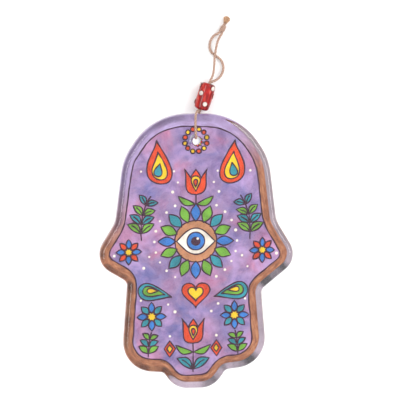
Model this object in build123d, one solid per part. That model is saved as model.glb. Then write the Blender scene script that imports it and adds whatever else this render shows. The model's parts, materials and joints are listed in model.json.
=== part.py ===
from build123d import *
import math
import os

# A hamsa hand ornament: a thick glass hand, painted on its back, on a knotted cord with a glass bead.
# It lies on its back. +X is right, +Y points to the dome and the cord, +Z comes out of the glass front.
# All sizes are millimetres. The origin is under the middle of the hand.

# Hand outline. A corner is the point where two sides would meet if it were not rounded.
# The shoulders are measured down from the top of the dome, the fingers up from the tip of the middle one.
hand_height = 160.0
dome_corner_x = 24.4
dome_radius = 36.5
shoulder_x = 42.0
shoulder_drop = 25.8
shoulder_radius = 34.0
flare_x = 46.6
flare_y = 17.8
flare_radius = 15.5
thumb_x = 60.1
thumb_y = -4.4
thumb_radius = 11.4
notch_x = 38.9
notch_y = -16.6
notch_radius = 4.4
finger_x = 42.7
finger_rise = 13.4
finger_radius = 17.5
valley_x = 18.2
valley_rise = 10.6
valley_radius = 2.9
middle_finger_x = 11.0
middle_finger_radius = 14.0
# The hand is a little uneven: its fingers sit left of the palm's axis, the left one is longer than
# the right one, and the notch under the right thumb is the lower one.
finger_shift = -0.9
left_finger_drop = 1.6
right_notch_drop = 5.8

# Glass slab, with a softly rounded front edge and a seamed back edge.
glass_thickness = 8.0
front_edge_radius = 3.5
back_edge_radius = 1.2

# Hole for the cord, below the top of the dome, with bevelled mouths.
hole_drop = 15.3
hole_diameter = 5.0
hole_bevel = 0.8

# Painted coats on the back of the glass: a border band, the field inside it and a cuff round the hole.
coat_thickness = 0.15
coat_margin = 2.1
hole_margin = 0.4
border_width = 4.0
cuff_radius = 13.0

# Cord, which passes through the hole and lies under the hand on its way to the bead.
cord_diameter = 1.5
cord_headroom = 0.2

# Bead: a barrel with a flared bore, turned from +Y towards +X as it lies.
bead_length = 15.5
bead_diameter = 9.0
bead_end_diameter = 8.4
bead_end_radius = 1.2
bead_bore = 4.0
bead_mouth_radius = 0.9
bead_turn = 17.5
bead_middle = (5.11, 89.68, 4.95)

# Raised dots on the bead, in rings along its length.
dot_diameter = 3.0
dot_height = 0.55
dots_per_ring = 3
dot_rings = ((-4.3, 34.0), (0.5, -30.0), (5.0, 37.0))

# Overhand knot and its two cut tails.
knot_length = 5.4
knot_diameter = 4.1
knot_end_diameter = 3.4
knot_turn = 23.9
knot_foot = (14.80, 126.15, 2.15)
wrap_slant = 24.0
tail_straight = 1.4
tail_length = 3.4
tail_spread = 13.0
tail_drop = 0.9

# Routes of the cord, as chosen points. The leads start in the middle of the hole, the strands in the bead.
front_lead_route = (
    (-0.25, 66.20, 5.80), (-0.25, 66.20, 10.95), (-0.40, 73.60, 11.50), (0.10, 81.30, 11.30),
    (2.56, 81.57, 5.75), (5.11, 89.68, 5.75),
)
back_lead_route = (
    (-0.25, 66.20, 5.80), (-0.25, 66.20, 0.85), (1.20, 73.40, 0.85), (2.45, 81.25, 0.85),
    (2.56, 81.57, 4.15), (5.11, 89.68, 4.15),
)
straight_strand_route = (
    (5.11, 89.68, 5.75), (7.60, 97.58, 5.75), (9.80, 102.20, 4.50), (10.30, 107.80, 3.00),
    (10.50, 112.00, 2.60), (11.20, 116.00, 2.40), (12.60, 120.20, 1.50), (14.72, 124.00, 2.15),
    (15.53, 125.82, 2.15),
)
wavy_strand_route = (
    (5.11, 89.68, 4.15), (7.60, 97.58, 4.15), (10.80, 99.50, 3.30), (14.00, 102.00, 1.60),
    (15.60, 106.00, 0.90), (14.60, 110.60, 0.80), (11.40, 113.60, 0.80), (8.60, 116.20, 0.80),
    (7.60, 119.50, 0.80), (9.00, 122.60, 0.85), (11.30, 124.30, 1.45), (13.42, 125.00, 2.15),
    (14.07, 126.47, 2.15),
)
# Tight arcs: where the cord turns at the hole, over the glass edge and into the bead, by corner number.
front_lead_arcs = {1: 2.2, 3: 4.0, 4: 1.5}
back_lead_arcs = {1: 2.0, 3: 1.7, 4: 1.6}


def outline_side(side, finger_drop, notch_drop):
    """Corners of one side of the hand, from the dome to the middle finger, each with its radius."""
    top = hand_height / 2
    tip = -hand_height / 2
    return [
        (side * dome_corner_x, top, dome_radius),
        (side * shoulder_x, top - shoulder_drop, shoulder_radius),
        (side * flare_x, flare_y, flare_radius),
        (side * thumb_x, thumb_y, thumb_radius),
        (finger_shift + side * notch_x, notch_y - notch_drop, notch_radius),
        (finger_shift + side * finger_x, tip + finger_rise - finger_drop, finger_radius),
        (finger_shift + side * valley_x, tip + valley_rise - finger_drop / 2, valley_radius),
        (finger_shift + side * middle_finger_x, tip, middle_finger_radius),
    ]


def rounded_outline(corners):
    """A face whose sides are straight and whose corners are tangent arcs."""
    points = [(x, y) for x, y, _ in corners]
    return make_face(FilletPolyline(*points, radius=[r for _, _, r in corners], close=True))


def arc_radius(before, corner, after):
    """Radius of the largest arc that leaves a tenth of the shorter run straight."""
    to_corner = Vector(corner) - Vector(before)
    from_corner = Vector(after) - Vector(corner)
    half_turn = math.radians(to_corner.get_angle(from_corner)) / 2
    return 0.45 * min(to_corner.length, from_corner.length) / math.tan(half_turn)


def cord_tube(name, route, tight_arcs):
    """A round tube along straight runs joined by tangent arcs."""
    corners = range(1, len(route) - 1)
    radii = [tight_arcs.get(i, arc_radius(*route[i - 1:i + 2])) for i in corners]
    path = FilletPolyline(*route, radius=radii)
    tube = sweep(Plane(origin=path @ 0, z_dir=path % 0) * Circle(cord_diameter / 2), path=path)
    expected = math.pi * cord_diameter**2 / 4 * path.length
    print(name, "length", round(path.length, 2), "radii", [round(r, 1) for r in radii])
    print(name, "volume over section times length", round(tube.volume / expected, 4))
    return tube


def lying_along(turn, place):
    """Location whose Z axis lies level, turned from +Y towards +X, with its Y axis pointing up."""
    heading = math.radians(turn)
    return Location(Plane(place, x_dir=(-math.cos(heading), math.sin(heading), 0),
                          z_dir=(math.sin(heading), math.cos(heading), 0)))


# Glass hand, first flat on its painted back.
right_side = outline_side(1, 0.0, right_notch_drop)
left_side = outline_side(-1, left_finger_drop, 0.0)
hand_face = rounded_outline(right_side + left_side[::-1])
glass = extrude(Pos(0, 0, coat_thickness) * hand_face, glass_thickness)
glass = fillet(glass.faces().sort_by(Axis.Z)[-1].edges(), front_edge_radius)
glass = fillet(glass.faces().sort_by(Axis.Z)[0].edges(), back_edge_radius)
hole_y = hand_height / 2 - hole_drop
hole_radius = hole_diameter / 2
mouth_radius = hole_radius + hole_bevel
hole_half = Rectangle(hole_radius, glass_thickness, align=(Align.MIN, Align.MIN))
mouth = Polygon((0, 0), (mouth_radius, 0), (hole_radius, hole_bevel), (0, hole_bevel), align=None)
far_mouth = Pos(0, glass_thickness) * mirror(mouth, about=Plane.XZ)
hole_profile = Plane.XZ * (hole_half + mouth + far_mouth)
hole = Pos(0, hole_y, coat_thickness) * revolve(hole_profile, Axis.Z)
glass = glass - hole

# Painted coats.
coat_face = offset(hand_face, -(back_edge_radius + coat_margin))
field_face = offset(coat_face, -border_width)
cuff_disc = Pos(0, hole_y) * Circle(cuff_radius)
cuff_hole = Pos(0, hole_y) * Circle(mouth_radius + hole_margin)
border_coat = extrude(coat_face - field_face, coat_thickness)
field_coat = extrude(field_face - cuff_disc, coat_thickness)
cuff_coat = extrude((field_face & cuff_disc) - cuff_hole, coat_thickness)

# The cord under the dome tips the hand up, so that it rests on the cord and on its middle finger.
rest_y = coat_face.bounding_box().min.Y
tip_up = math.degrees(math.asin((cord_diameter + cord_headroom) / (hole_y - rest_y)))
as_it_lies = Location((0, rest_y, 0), (tip_up, 0, 0)) * Location((0, -rest_y, 0))

# Bead, made about its own axis: a barrel with a bore, and dots of glass laid on its side.
bead_radius = bead_diameter / 2
bead_end = bead_end_diameter / 2
half_bead = bead_length / 2
bead_side = ThreePointArc((bead_end, -half_bead), (bead_radius, 0), (bead_end, half_bead))
bead_ends = Polyline((bead_end, half_bead), (0, half_bead), (0, -half_bead), (bead_end, -half_bead))
barrel_face = make_face(bead_side + bead_ends)
barrel_face = fillet(barrel_face.vertices().group_by(Axis.X)[-1], bead_end_radius)
barrel = revolve(Plane.XZ * barrel_face, Axis.Z)
bead = barrel - Cylinder(bead_bore / 2, bead_length)
mouth_edges = bead.edges().filter_by(GeomType.CIRCLE).filter_by(lambda edge: edge.radius <= bead_bore / 2)
bead = fillet(mouth_edges, bead_mouth_radius)
dot_sphere = (dot_diameter**2 / 4 + dot_height**2) / (2 * dot_height)
dot_centre = bead_radius + dot_height - dot_sphere
bead_dots = Part()
for along, first_angle in dot_rings:
    for i in range(dots_per_ring):
        spoke = Rot(0, 0, 90 + first_angle + i * 360 / dots_per_ring)
        bead_dots += spoke * Pos(dot_centre, 0, along) * Sphere(dot_sphere) - barrel
bead_place = lying_along(bead_turn, bead_middle)

# Knot: a swollen core with two slanting wraps of the cord, flat at both ends.
knot_end = knot_end_diameter / 2
wrap_reach = knot_diameter / 2 - cord_diameter / 2
core_waist = (wrap_reach + cord_diameter / 4, knot_length / 2)
core_side = ThreePointArc((knot_end, 0), core_waist, (knot_end, knot_length))
core_ends = Polyline((knot_end, knot_length), (0, knot_length), (0, 0), (knot_end, 0))
core_face = make_face(core_side + core_ends)
knot = revolve(Plane.XZ * core_face, Axis.Z)
for slant in (wrap_slant, -wrap_slant):
    knot += Pos(0, 0, knot_length / 2) * Rot(slant, 0, 0) * Torus(wrap_reach, cord_diameter / 2)
knot_place = lying_along(knot_turn, knot_foot)

# Two tails, which leave the knot side by side, spread and sink to the surface.
tails = Part()
tail_out = tail_length * math.sin(math.radians(tail_spread))
tail_on = tail_length * math.cos(math.radians(tail_spread))
for side in (1, -1):
    start = Vector(side * knot_end / 2, 0, knot_length)
    bend = start + Vector(0, 0, tail_straight)
    tip = bend + Vector(side * tail_out, -tail_drop, tail_on)
    tails += cord_tube("tail", (start, bend, tip), {})

nodes = {
    "glass_hand": as_it_lies * glass,
    "border_coat": as_it_lies * border_coat,
    "field_coat": as_it_lies * field_coat,
    "cuff_coat": as_it_lies * cuff_coat,
    "front_lead": cord_tube("front_lead", front_lead_route, front_lead_arcs),
    "back_lead": cord_tube("back_lead", back_lead_route, back_lead_arcs),
    "straight_strand": cord_tube("straight_strand", straight_strand_route, {}),
    "wavy_strand": cord_tube("wavy_strand", wavy_strand_route, {}),
    "bead": bead_place * bead,
    "bead_dots": bead_place * bead_dots,
    "knot": knot_place * knot,
    "cut_tails": knot_place * tails,
}

print("tip up", round(tip_up, 3), "degrees about y", round(rest_y, 2))
os.makedirs("parts", exist_ok=True)
for name, solid in nodes.items():
    solid.label = name
    export_step(solid, f"parts/{name}.step")
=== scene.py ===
"""Looks of a hamsa hand ornament: painted glass, a twisted cord, its knot and a dotted bead.

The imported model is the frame. Every piece is in metres, where the model says, and rides on one of its bodies.
"""
import json
import math
import random

import bmesh
import bpy
from bpy.props import FloatProperty, FloatVectorProperty, IntProperty, PointerProperty
from mathutils import Matrix, Vector
from mathutils.geometry import interpolate_bezier


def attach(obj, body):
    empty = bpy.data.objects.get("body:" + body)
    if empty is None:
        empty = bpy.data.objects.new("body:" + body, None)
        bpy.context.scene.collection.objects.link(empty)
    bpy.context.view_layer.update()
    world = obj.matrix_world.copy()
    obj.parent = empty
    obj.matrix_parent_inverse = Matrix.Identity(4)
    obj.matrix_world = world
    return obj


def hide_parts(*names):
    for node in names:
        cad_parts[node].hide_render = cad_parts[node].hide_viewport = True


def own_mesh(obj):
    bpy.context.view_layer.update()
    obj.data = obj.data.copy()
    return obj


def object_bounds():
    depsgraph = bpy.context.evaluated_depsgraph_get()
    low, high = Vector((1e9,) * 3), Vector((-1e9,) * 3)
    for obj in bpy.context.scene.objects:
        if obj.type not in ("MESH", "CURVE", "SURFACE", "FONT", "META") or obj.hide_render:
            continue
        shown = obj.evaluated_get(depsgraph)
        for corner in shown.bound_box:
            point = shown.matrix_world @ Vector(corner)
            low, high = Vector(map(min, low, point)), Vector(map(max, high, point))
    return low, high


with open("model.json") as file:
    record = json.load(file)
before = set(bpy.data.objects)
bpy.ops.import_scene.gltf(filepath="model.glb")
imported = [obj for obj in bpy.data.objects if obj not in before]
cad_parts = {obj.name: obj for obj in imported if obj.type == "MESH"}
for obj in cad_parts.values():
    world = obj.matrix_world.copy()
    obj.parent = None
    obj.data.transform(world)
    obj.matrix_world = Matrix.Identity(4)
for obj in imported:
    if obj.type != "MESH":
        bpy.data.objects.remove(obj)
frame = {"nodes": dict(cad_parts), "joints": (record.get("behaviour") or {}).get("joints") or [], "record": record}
CAD_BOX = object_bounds()

bl_info = {
    "name": "Hamsa hand ornament",
    "version": (1, 0, 0),
    "blender": (4, 5, 0),
    "location": "View3D > Sidebar > Hamsa",
    "description": "Dresses the packed hamsa hand with painted glass, cord, knot and bead",
    "category": "Object",
}

MM = 0.001


def named(entries, name):
    """The entry of a record's list that has this name."""
    return next(entry for entry in entries if entry["name"] == name)


# The hand lies tipped up on the cord under it. Flat places are measured on its back, before that tip.
BACK_FACE = named(frame["record"]["mounts"], "back_face")
SWING = named(frame["joints"], "cord_swing")
SLIDE = named(frame["joints"], "bead_slide")
TIP_UP = math.atan2(BACK_FACE["axis"][1], -BACK_FACE["axis"][2])
AS_IT_LIES = Matrix.Translation(BACK_FACE["pos_m"]) @ Matrix.Rotation(TIP_UP, 4, "X")
FLAT = AS_IT_LIES.inverted()
HOLE = (FLAT @ Vector(SWING["pos_m"])).to_2d()
BEAD_AXIS = Vector(SLIDE["axis"])
BEAD_TURN = math.atan2(BEAD_AXIS.x, BEAD_AXIS.y)

# Routes of the cord in millimetres, as in the model. The lead loop runs from the bead over the glass,
# through the hole and back under the glass to the bead. The strands run from the bead to the knot.
LEAD_ROUTE = (
    (6.40, 93.77, 5.75), (5.11, 89.68, 5.75), (1.60, 81.90, 5.75), (-0.90, 81.10, 11.30),
    (-1.20, 73.60, 11.50), (-0.60, 66.10, 10.95), (-0.40, 66.20, 5.80), (-0.25, 66.20, 0.85),
    (1.20, 73.40, 0.85), (2.45, 81.25, 0.85), (2.56, 81.57, 4.15), (5.11, 89.68, 4.15),
    (6.40, 93.77, 4.15),
)
STRAIGHT_ROUTE = (
    (6.40, 93.77, 5.75), (7.60, 97.58, 5.75), (10.10, 102.20, 4.50), (10.80, 107.80, 3.00),
    (11.00, 112.00, 2.60), (11.70, 116.00, 2.40), (12.60, 120.20, 1.60), (13.90, 123.50, 2.15),
    (15.53, 125.82, 2.15),
)
WAVY_ROUTE = (
    (6.40, 93.77, 4.15), (7.60, 97.58, 4.15), (11.60, 98.60, 3.40), (15.00, 101.20, 1.70),
    (16.70, 105.80, 0.90), (15.20, 110.40, 0.80), (11.60, 112.80, 0.80), (8.70, 115.20, 0.80),
    (8.20, 118.90, 0.80), (9.40, 122.60, 0.85), (11.40, 124.80, 1.45), (13.20, 125.40, 2.15),
    (14.07, 126.47, 2.15),
)
KNOT_FOOT = Vector((14.80, 126.15, 2.15)) * MM
KNOT_HEADING = math.radians(23.9)
BEAD_MIDDLE = Vector((5.11, 89.68, 4.95)) * MM


# Settings

def srgb(red, green, blue):
    """Linear colour of a screen colour given in steps of 0 to 255."""
    return tuple(((c / 255 + 0.055) / 1.055) ** 2.4 for c in (red, green, blue))


def size_prop(label, millimetres, note):
    """A length that a user may change, given in millimetres and kept in metres."""
    return FloatProperty(name=label, description=note, default=millimetres * MM, unit="LENGTH", precision=5)


def colour_prop(label, red, green, blue, note):
    """A colour that a user may change, given as a screen colour."""
    return FloatVectorProperty(name=label, description=note, default=srgb(red, green, blue),
                               subtype="COLOR", min=0.0, max=1.0)


def angle_prop(label, degrees, note):
    """An angle that a user may change, given in degrees."""
    return FloatProperty(name=label, description=note, default=math.radians(degrees), subtype="ANGLE")


class HamsaGlassSettings(bpy.types.PropertyGroup):
    """Sizes and finish of the glass slab."""
    front_radius: size_prop("Front edge radius", 3.5, "Rounding of the edge on the front")
    back_radius: size_prop("Back edge radius", 1.2, "Seam on the edge of the painted back")
    edge_inset: size_prop("Paint inset", 3.3, "Bare glass between the outline and the paint")
    hole_radius: size_prop("Hole radius", 2.5, "Drilled hole for the cord")
    hole_bevel: size_prop("Hole bevel", 0.8, "Bevel at both mouths of the hole")
    tint: colour_prop("Tint", 238, 241, 245, "Body colour of the glass")
    # Painted shade: this grey-mauve on the bare back rim stands in for dark surroundings seen through the glass
    # edge.
    ground: colour_prop("Ground edge", 138, 118, 132, "Bare rim of the back, ground dull when it was seamed")
    ior: FloatProperty(name="IOR", description="Refractive index", default=1.5, min=1.0, max=2.0)


class HamsaPaintSettings(bpy.types.PropertyGroup):
    """Colours and line widths of the painted design."""
    lavender: colour_prop("Lavender", 158, 131, 169, "Ground of the field")
    rose: colour_prop("Rose", 196, 128, 158, "Warm clouds in the ground")
    sky: colour_prop("Sky", 118, 116, 172, "Cool clouds in the ground")
    brown: colour_prop("Brown", 156, 96, 66, "Border")
    mauve: colour_prop("Mauve", 166, 146, 184, "Border on the dome")
    amber: colour_prop("Amber", 192, 132, 92, "Light streaks in the border, and the disc of the eye")
    orange: colour_prop("Orange", 216, 66, 22, "Drops, tulips, the heart and lozenges")
    yellow: colour_prop("Yellow", 236, 190, 26, "Cores of the motifs and flower centres")
    blue: colour_prop("Blue", 50, 116, 190, "Petals and the iris")
    teal: colour_prop("Teal", 42, 136, 148, "Drops, petals and leaves")
    green: colour_prop("Green", 108, 164, 50, "Leaves and petals")
    cream: colour_prop("Cream", 240, 230, 212, "White of the eye, and dots")
    contour: colour_prop("Contour", 58, 18, 44, "Lines round the shapes, and the pupil")
    border_back: colour_prop("Border back", 158, 94, 48, "Border seen from the back")
    field_back: colour_prop("Field back", 172, 148, 205, "Field seen from the back")
    cuff_back: colour_prop("Cuff back", 124, 116, 176, "Disc round the hole seen from the back")
    line_width: size_prop("Line width", 0.74, "Width of the contour lines")
    border_width: size_prop("Border width", 4.0, "Width of the border band")
    left_thinning: FloatProperty(
        name="Left thinning", description="Share by which the band is narrower on the left", default=0.4,
        min=0.0, max=0.9, subtype="FACTOR")
    low_reach: size_prop("Lower left reach", 1.5, "How much nearer to the edge the band runs there")
    hole_margin: size_prop("Hole margin", 3.7, "Radius left free round the hole")
    wobble: size_prop("Wobble", 0.45, "How far the painter's hand shakes")
    dot_radius: size_prop("Dot radius", 0.75, "Dots set round the motifs")


class HamsaCordSettings(bpy.types.PropertyGroup):
    """Make-up of the twisted cord."""
    diameter: size_prop("Diameter", 1.5, "Outer diameter of the cord")
    pitch: size_prop("Pitch", 5.2, "Length of one full twist")
    plies: IntProperty(name="Plies", description="Twisted yarns in the cord", default=3, min=2, max=6)
    # Painted light and shade: the light yarn is the yarn lit on its raised plies, the dark yarn the same yarn
    # shaded down between them.
    light: colour_prop("Light yarn", 206, 172, 152, "Raised fibres")
    dark: colour_prop("Dark yarn", 132, 98, 84, "Fibres down between the plies")
    # Painted light and shade of the tails: lit on their raised plies, shaded down between them.
    end_light: colour_prop("Light ends", 232, 188, 146, "Raised fibres of the tails")
    end_dark: colour_prop("Dark ends", 126, 80, 56, "Deep fibres of the tails")


class HamsaBeadSettings(bpy.types.PropertyGroup):
    """Sizes and colours of the glass bead and its dots."""
    length: size_prop("Length", 15.5, "Bead from end to end")
    diameter: size_prop("Diameter", 9.0, "Bead at its waist")
    end_diameter: size_prop("End diameter", 8.4, "Bead at its ends")
    bore: size_prop("Bore", 4.0, "Hole along the bead")
    dot_diameter: size_prop("Dot diameter", 2.7, "Raised dots on the side")
    dot_height: size_prop("Dot height", 0.5, "How far the dots stand out")
    rim: size_prop("Rim", 0.34, "Width of the dark rim round a dot")
    red: colour_prop("Red", 172, 8, 8, "Body of the bead")
    streak: colour_prop("Streak", 214, 86, 66, "Pale swirls in the glass")
    pale: colour_prop("Pale dot", 214, 202, 194, "Raised dots")
    dark: colour_prop("Dark rim", 96, 22, 24, "Rims round the dots")


class HamsaStageSettings(bpy.types.PropertyGroup):
    """Where the camera stands and what it sees."""
    distance: size_prop("Camera distance", 1000.0, "From the middle of the picture")
    lean_left: angle_prop("Lean left", 7.0, "Camera off the vertical, to the left")
    lean_up: angle_prop("Lean up", 7.0, "Camera off the vertical, towards the knot")
    picture_width: size_prop("Picture width", 230.0, "Width of the picture at the object")
    middle: FloatVectorProperty(name="Middle", description="Point in the middle of the picture",
                                default=(2.31 * MM, 30.19 * MM, 5.0 * MM), subtype="TRANSLATION")


# Helpers for meshes

def add_object(name, data, *materials):
    """A new object at the origin. Materials given take the place of its own."""
    thing = bpy.data.objects.new(name, data)
    bpy.context.scene.collection.objects.link(thing)
    if materials:
        data.materials.clear()
    for material in materials:
        data.materials.append(material)
    return thing


def dress(piece, body, slot, *nodes):
    """Puts a piece on its body and in place of the model's nodes that it replaces. The slot is not used."""
    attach(piece, body)
    if nodes:
        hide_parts(*nodes)


def line_object(name, lines, loops=()):
    """A mesh of edges only, one chain for each line of points and one ring for each loop."""
    places, edges = [], []
    for chains in (lines, loops):
        for line in chains:
            first = len(places)
            places += [tuple(point) for point in line]
            edges += [(first + i, first + i + 1) for i in range(len(line) - 1)]
            if chains is loops:
                edges.append((first + len(line) - 1, first))
    mesh = bpy.data.meshes.new(name)
    mesh.from_pydata(places, edges, [])
    return add_object(name, mesh)


def smooth(mesh):
    """Shades every face of a mesh smooth."""
    mesh.polygons.foreach_set("use_smooth", [True] * len(mesh.polygons))
    return mesh


def joined(name, meshes):
    """One mesh from several."""
    work = bmesh.new()
    for mesh in meshes:
        work.from_mesh(mesh)
    result = bpy.data.meshes.new(name)
    work.to_mesh(result)
    work.free()
    return result


def closed_mesh(work, name):
    """A closed bmesh made a mesh with its faces outward."""
    bmesh.ops.recalc_face_normals(work, faces=work.faces)
    if work.calc_volume(signed=True) < 0:
        bmesh.ops.reverse_faces(work, faces=work.faces)
    mesh = bpy.data.meshes.new(name)
    work.to_mesh(mesh)
    work.free()
    return mesh


def all_round(count):
    """Even angles all round."""
    return [math.tau * i / count for i in range(count)]


def shares(steps):
    """Even shares of a way, from 0 to 1."""
    return [i / steps for i in range(steps + 1)]


def sides(loop):
    """Pairs of neighbours on a closed line."""
    return zip(loop, loop[1:] + loop[:1])


def circle(radius, count, middle=(0.0, 0.0)):
    """Points of a circle, counterclockwise."""
    return [Vector(middle) + radius * Vector((math.cos(turn), math.sin(turn))) for turn in all_round(count)]


def quarter_turn(steps):
    """How far the sine and the cosine are from 1, in even steps over a quarter turn."""
    turns = [math.pi / 2 * i / steps for i in range(steps + 1)]
    return [(1 - math.sin(turn), 1 - math.cos(turn)) for turn in turns]


def ring_of(work, loop, height):
    """Vertices of a level ring."""
    return [work.verts.new((*point, height)) for point in loop]


def bridge(work, lower, upper):
    """Quads between two rings of equal length."""
    for i in range(len(lower)):
        work.faces.new((lower[i - 1], lower[i], upper[i], upper[i - 1]))


def closed_tube(work, rings, name):
    """Mesh of a tube whose last ring meets its first."""
    for i in range(len(rings)):
        bridge(work, rings[i - 1], rings[i])
    return closed_mesh(work, name)


def cap(work, rim, hole):
    """A flat face between an outer ring and a hole."""
    edges = [work.edges.get((ring[i - 1], ring[i])) for ring in (rim, hole) for i in range(len(ring))]
    bmesh.ops.triangle_fill(work, edges=edges, use_beauty=True)


def value_layers(work, *names):
    """Layers that keep named values on the vertices."""
    return [work.verts.layers.float.new(name) for name in names]


def keep_values(vert, layers, *values):
    """Stores values on a vertex."""
    for layer, value in zip(layers, values):
        vert[layer] = value


# Helpers for node trees

class Nodes:
    """Adds nodes to a tree. Each call gives one output of the node that it adds."""

    def __init__(self, tree):
        self.tree = tree

    def feed(self, socket, value):
        """Links a socket to another, or sets its value."""
        if isinstance(value, bpy.types.NodeSocket):
            self.tree.links.new(value, socket)
        else:
            socket.default_value = (*value, 1.0) if socket.type == "RGBA" else value

    def add(self, kind, values=None, out=0, **settings):
        """A node of a kind, with its settings made and then its inputs fed."""
        node = self.tree.nodes.new(kind)
        for key, value in settings.items():
            setattr(node, key, value)
        for key, value in (values or {}).items():
            self.feed(node.inputs[key], value)
        return node.outputs[out]

    def math(self, operation, *values):
        """A sum on values or sockets."""
        return self.add("ShaderNodeMath", dict(enumerate(values)), operation=operation)

    def vector(self, operation, *values, out=0):
        """A sum on vectors or sockets."""
        return self.add("ShaderNodeVectorMath", dict(enumerate(values)), out, operation=operation)

    def scaled(self, vector, factor):
        """A vector times a factor."""
        return self.add("ShaderNodeVectorMath", {0: vector, "Scale": factor}, operation="SCALE")

    def combine(self, *values):
        """A vector from its parts."""
        return self.add("ShaderNodeCombineXYZ", dict(enumerate(values)))

    def noise(self, place, scale, detail=3.0, roughness=0.5, distortion=0.0, out="Fac"):
        """A noise texture."""
        return self.add("ShaderNodeTexNoise", {
            "Vector": place, "Scale": scale, "Detail": detail, "Roughness": roughness,
            "Distortion": distortion}, out)

    def ranged(self, value, start, end, low=0.0, high=1.0):
        """A value mapped from one range to another and held inside it."""
        return self.add("ShaderNodeMapRange", {
            "Value": value, "From Min": start, "From Max": end, "To Min": low, "To Max": high})

    def ramp(self, factor, *stops):
        """A colour ramp with stops of position and linear colour."""
        colour = self.add("ShaderNodeValToRGB", {"Fac": factor})
        elements = colour.node.color_ramp.elements
        while len(elements) < len(stops):
            elements.new(0.5)
        for element, (position, stop) in zip(elements, stops):
            element.position = position
            element.color = (*stop, 1.0)
        return colour


class Shaper(Nodes):
    """A Geometry Nodes tree with named inputs, the last of them its material."""

    def __init__(self, name, **inputs):
        super().__init__(bpy.data.node_groups.new(name, "GeometryNodeTree"))
        sockets = self.tree.interface
        sockets.new_socket("Geometry", in_out="OUTPUT", socket_type="NodeSocketGeometry")
        for label, kind in {"Geometry": "Geometry", **inputs, "Material": "Material"}.items():
            sockets.new_socket(label, in_out="INPUT", socket_type="NodeSocket" + kind)
        self.given = self.tree.nodes.new("NodeGroupInput").outputs

    def geo(self, kind, values=None, out=0, **settings):
        """A Geometry Node, whose kind is given without its prefix."""
        return self.add("GeometryNode" + kind, values, out, **settings)

    def curve(self):
        """The given lines as curves."""
        return self.geo("MeshToCurve", {"Mesh": self.given["Geometry"]})

    def shaken_curve(self):
        """The given lines moved a little on the level by noise, as by a painter's hand."""
        cloud = self.noise(self.geo("InputPosition"), 140.0, 1.0, out="Color")
        shift = self.vector("SUBTRACT", cloud, (0.5, 0.5, 0.5))
        level = self.vector("MULTIPLY", shift, (2.0, 2.0, 0.0))
        offset = self.scaled(level, self.given["Wobble"])
        return self.geo("SetPosition", {"Geometry": self.curve(), "Offset": offset})

    def raised(self, geometry):
        """Geometry moved up to its level."""
        rise = self.combine(0.0, 0.0, self.given["Level"])
        return self.geo("SetPosition", {"Geometry": geometry, "Offset": rise})

    def finish(self, geometry):
        """Ends the tree in realized instances and its material."""
        real = self.geo("RealizeInstances", {"Geometry": geometry})
        done = self.geo("SetMaterial", {"Geometry": real, "Material": self.given["Material"]})
        self.feed(self.tree.nodes.new("NodeGroupOutput").inputs[0], done)
        return self.tree


def made_by(make, source, name, **values):
    """Plain mesh that a function's tree makes from a source. The source is removed."""
    tree = bpy.data.node_groups.get(make.__name__) or make()
    modifier = source.modifiers.new(tree.name, "NODES")
    modifier.node_group = tree
    for item in tree.interface.items_tree:
        if item.in_out == "INPUT" and item.name in values:
            modifier[item.identifier] = values[item.name]
    graph = bpy.context.evaluated_depsgraph_get()
    mesh = bpy.data.meshes.new_from_object(source.evaluated_get(graph))
    mesh.name = name
    bpy.data.objects.remove(source)
    if not mesh.polygons:
        raise RuntimeError(f"{tree.name} made no faces for {name}")
    mesh.materials.clear()
    mesh.materials.append(values["Material"])
    mesh.polygons.foreach_set("material_index", [0] * len(mesh.polygons))
    return mesh


def twisted_cord():
    """Tubes of twisted plies along lines: a lobed section that turns as it goes."""
    make = Shaper("twisted_cord", Diameter="Float", Pitch="Float", Plies="Int", Groove="Float", Step="Float")
    given = make.given
    line = make.geo("ResampleCurve", {"Curve": make.curve(), "Length": given["Step"]}, mode="LENGTH")
    along = make.geo("SplineParameter", out="Length")
    tilt = make.math("MULTIPLY", make.math("DIVIDE", along, given["Pitch"]), math.tau)
    line = make.geo("SetCurveTilt", {"Curve": line, "Tilt": tilt})
    line = make.geo("StoreNamedAttribute", {"Geometry": line, "Name": "along", "Value": along})
    radius = make.math("MULTIPLY", given["Diameter"], 0.5)
    ring = make.geo("CurvePrimitiveCircle", {"Resolution": 18, "Radius": radius})
    around = make.geo("SplineParameter", out="Factor")
    lobes = make.math("MULTIPLY", make.math("MULTIPLY", around, given["Plies"]), math.tau)
    wave = make.math("MULTIPLY_ADD", make.math("COSINE", lobes), 0.5, -0.5)
    shrink = make.math("MULTIPLY_ADD", wave, given["Groove"], 1.0)
    lobed = make.scaled(make.geo("InputPosition"), shrink)
    ring = make.geo("SetPosition", {"Geometry": ring, "Position": lobed})
    ring = make.geo("StoreNamedAttribute", {"Geometry": ring, "Name": "around", "Value": around})
    return make.finish(make.geo("CurveToMesh", {"Curve": line, "Profile Curve": ring, "Fill Caps": True}))


def painted_plate():
    """Thin closed plates of paint inside loops."""
    make = Shaper("painted_plate", Wobble="Float", Film="Float", Level="Float")
    face = make.geo("FillCurve", {"Curve": make.shaken_curve()}, mode="TRIANGLES")
    under = make.geo("FlipFaces", {"Mesh": face})
    over = make.geo("ExtrudeMesh", {"Mesh": face, "Offset Scale": make.given["Film"], "Individual": False})
    both = make.geo("JoinGeometry")
    for half in (under, over):
        make.feed(both.node.inputs[0], half)
    return make.finish(make.raised(make.geo("MergeByDistance", {"Geometry": both, "Distance": 1e-6})))


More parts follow.
